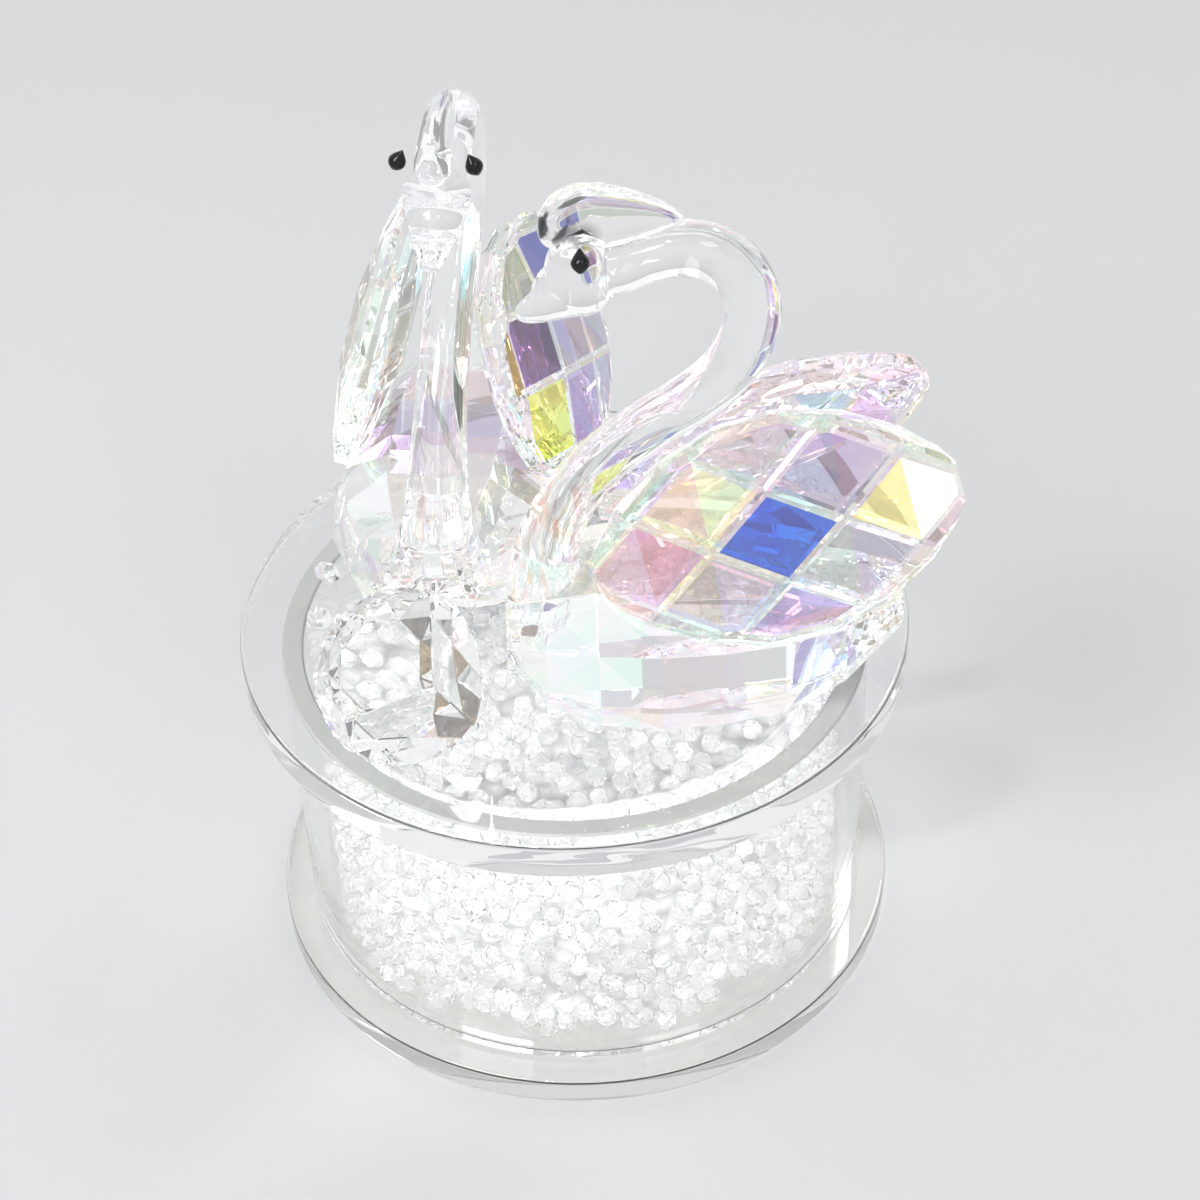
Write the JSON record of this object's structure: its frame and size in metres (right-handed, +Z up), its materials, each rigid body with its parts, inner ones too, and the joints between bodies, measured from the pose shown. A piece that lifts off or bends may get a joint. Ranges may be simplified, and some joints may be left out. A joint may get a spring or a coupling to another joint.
{
  "type": "crystal swan figurine",
  "caption": "Clear crystal swans with lampworked necks and facet-cut wings standing with a cut stone on a round glass base filled with beads, for display on a shelf or table.",
  "frame": {"origin": "centre of the base's underside", "axes": "+Z up, viewer's side is -Y, +X to the viewer's right"},
  "size_m": [0.0828, 0.0875, 0.1099],
  "materials": {
    "clear_glass": "clear, polished, see-through",
    "lampwork_glass": "clear, fire-polished, see-through",
    "coated_crystal": "cut and polished, iridescent coating, see-through",
    "stone_crystal": "cut and polished, see-through",
    "clear_beads": "clear facetted beads",
    "black_glass": "black, glossy"
  },
  "bodies": {
    "root": {"bottom_disc": "clear_glass", "drum_wall": "clear_glass", "top_disc": "clear_glass", "bead_fill": "clear_beads", "cut_stone": "stone_crystal", "drop_back": "clear_glass", "drop_front": "clear_glass", "side_swan_body": "coated_crystal", "side_swan_wing_left": "coated_crystal", "side_swan_wing_right": "coated_crystal", "side_swan_neck": "lampwork_glass", "side_swan_eye_left": "black_glass", "side_swan_eye_right": "black_glass", "front_swan_body": "coated_crystal", "front_swan_wing_left": "coated_crystal", "front_swan_wing_right": "coated_crystal", "front_swan_neck": "lampwork_glass", "front_swan_eye_left": "black_glass", "front_swan_eye_right": "black_glass"}
  },
  "joints": []
}
